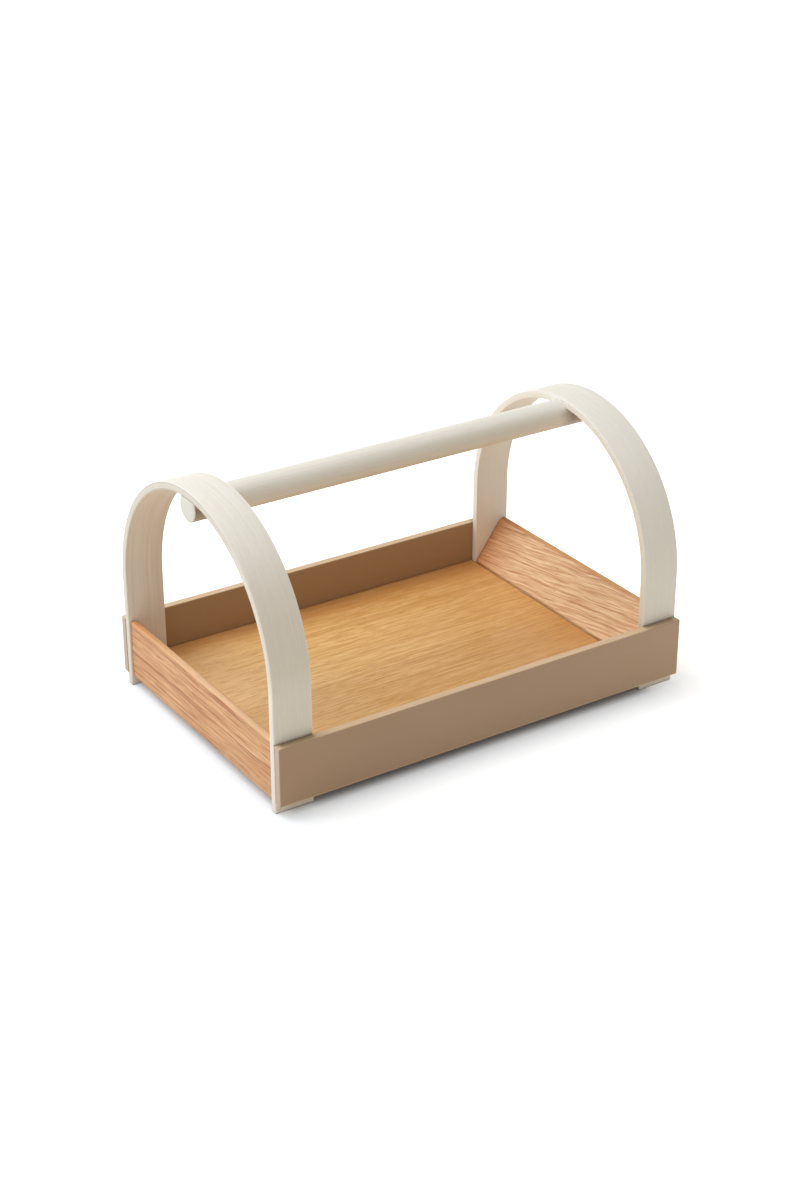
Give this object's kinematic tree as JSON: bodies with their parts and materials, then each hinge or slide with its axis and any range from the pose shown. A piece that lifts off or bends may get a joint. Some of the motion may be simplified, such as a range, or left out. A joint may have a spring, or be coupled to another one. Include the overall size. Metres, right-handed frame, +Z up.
{
  "type": "wooden carry tray",
  "caption": "Rectangular wooden carry tray with bent-strip arches at both ends, a round dowel handle let into their crowns, lacquered side panels and sloping end blocks.",
  "frame": {"origin": "on the ground, under the middle of the tray", "axes": "+X along the handle, +Y from the front panel to the rear panel, +Z up"},
  "size_m": [0.4, 0.2704, 0.2303],
  "materials": {
    "whitewashed_ash": "whitewashed, satin, fine open grain along the strip",
    "taupe_lacquer": "board with an even taupe lacquer on its two faces and pale bare edges, satin",
    "solid_oak": "solid oak, oiled, matt",
    "oak_veneer": "oak veneer, clear lacquer, satin",
    "beech_pin": "plain beech, unfinished"
  },
  "bodies": {
    "root": {"arch_left": "whitewashed_ash", "arch_right": "whitewashed_ash", "handle": "whitewashed_ash", "front_panel": "taupe_lacquer", "rear_panel": "taupe_lacquer", "end_block_left": "solid_oak", "end_block_right": "solid_oak", "floor_board": "oak_veneer", "corner_pin_front_left_lower": "beech_pin", "corner_pin_front_left_upper": "beech_pin", "corner_pin_front_right_lower": "beech_pin", "corner_pin_front_right_upper": "beech_pin", "corner_pin_rear_left_lower": "beech_pin", "corner_pin_rear_left_upper": "beech_pin", "corner_pin_rear_right_lower": "beech_pin", "corner_pin_rear_right_upper": "beech_pin", "handle_pin_left_inner": "beech_pin", "handle_pin_left_outer": "beech_pin", "handle_pin_right_inner": "beech_pin", "handle_pin_right_outer": "beech_pin"}
  },
  "joints": []
}
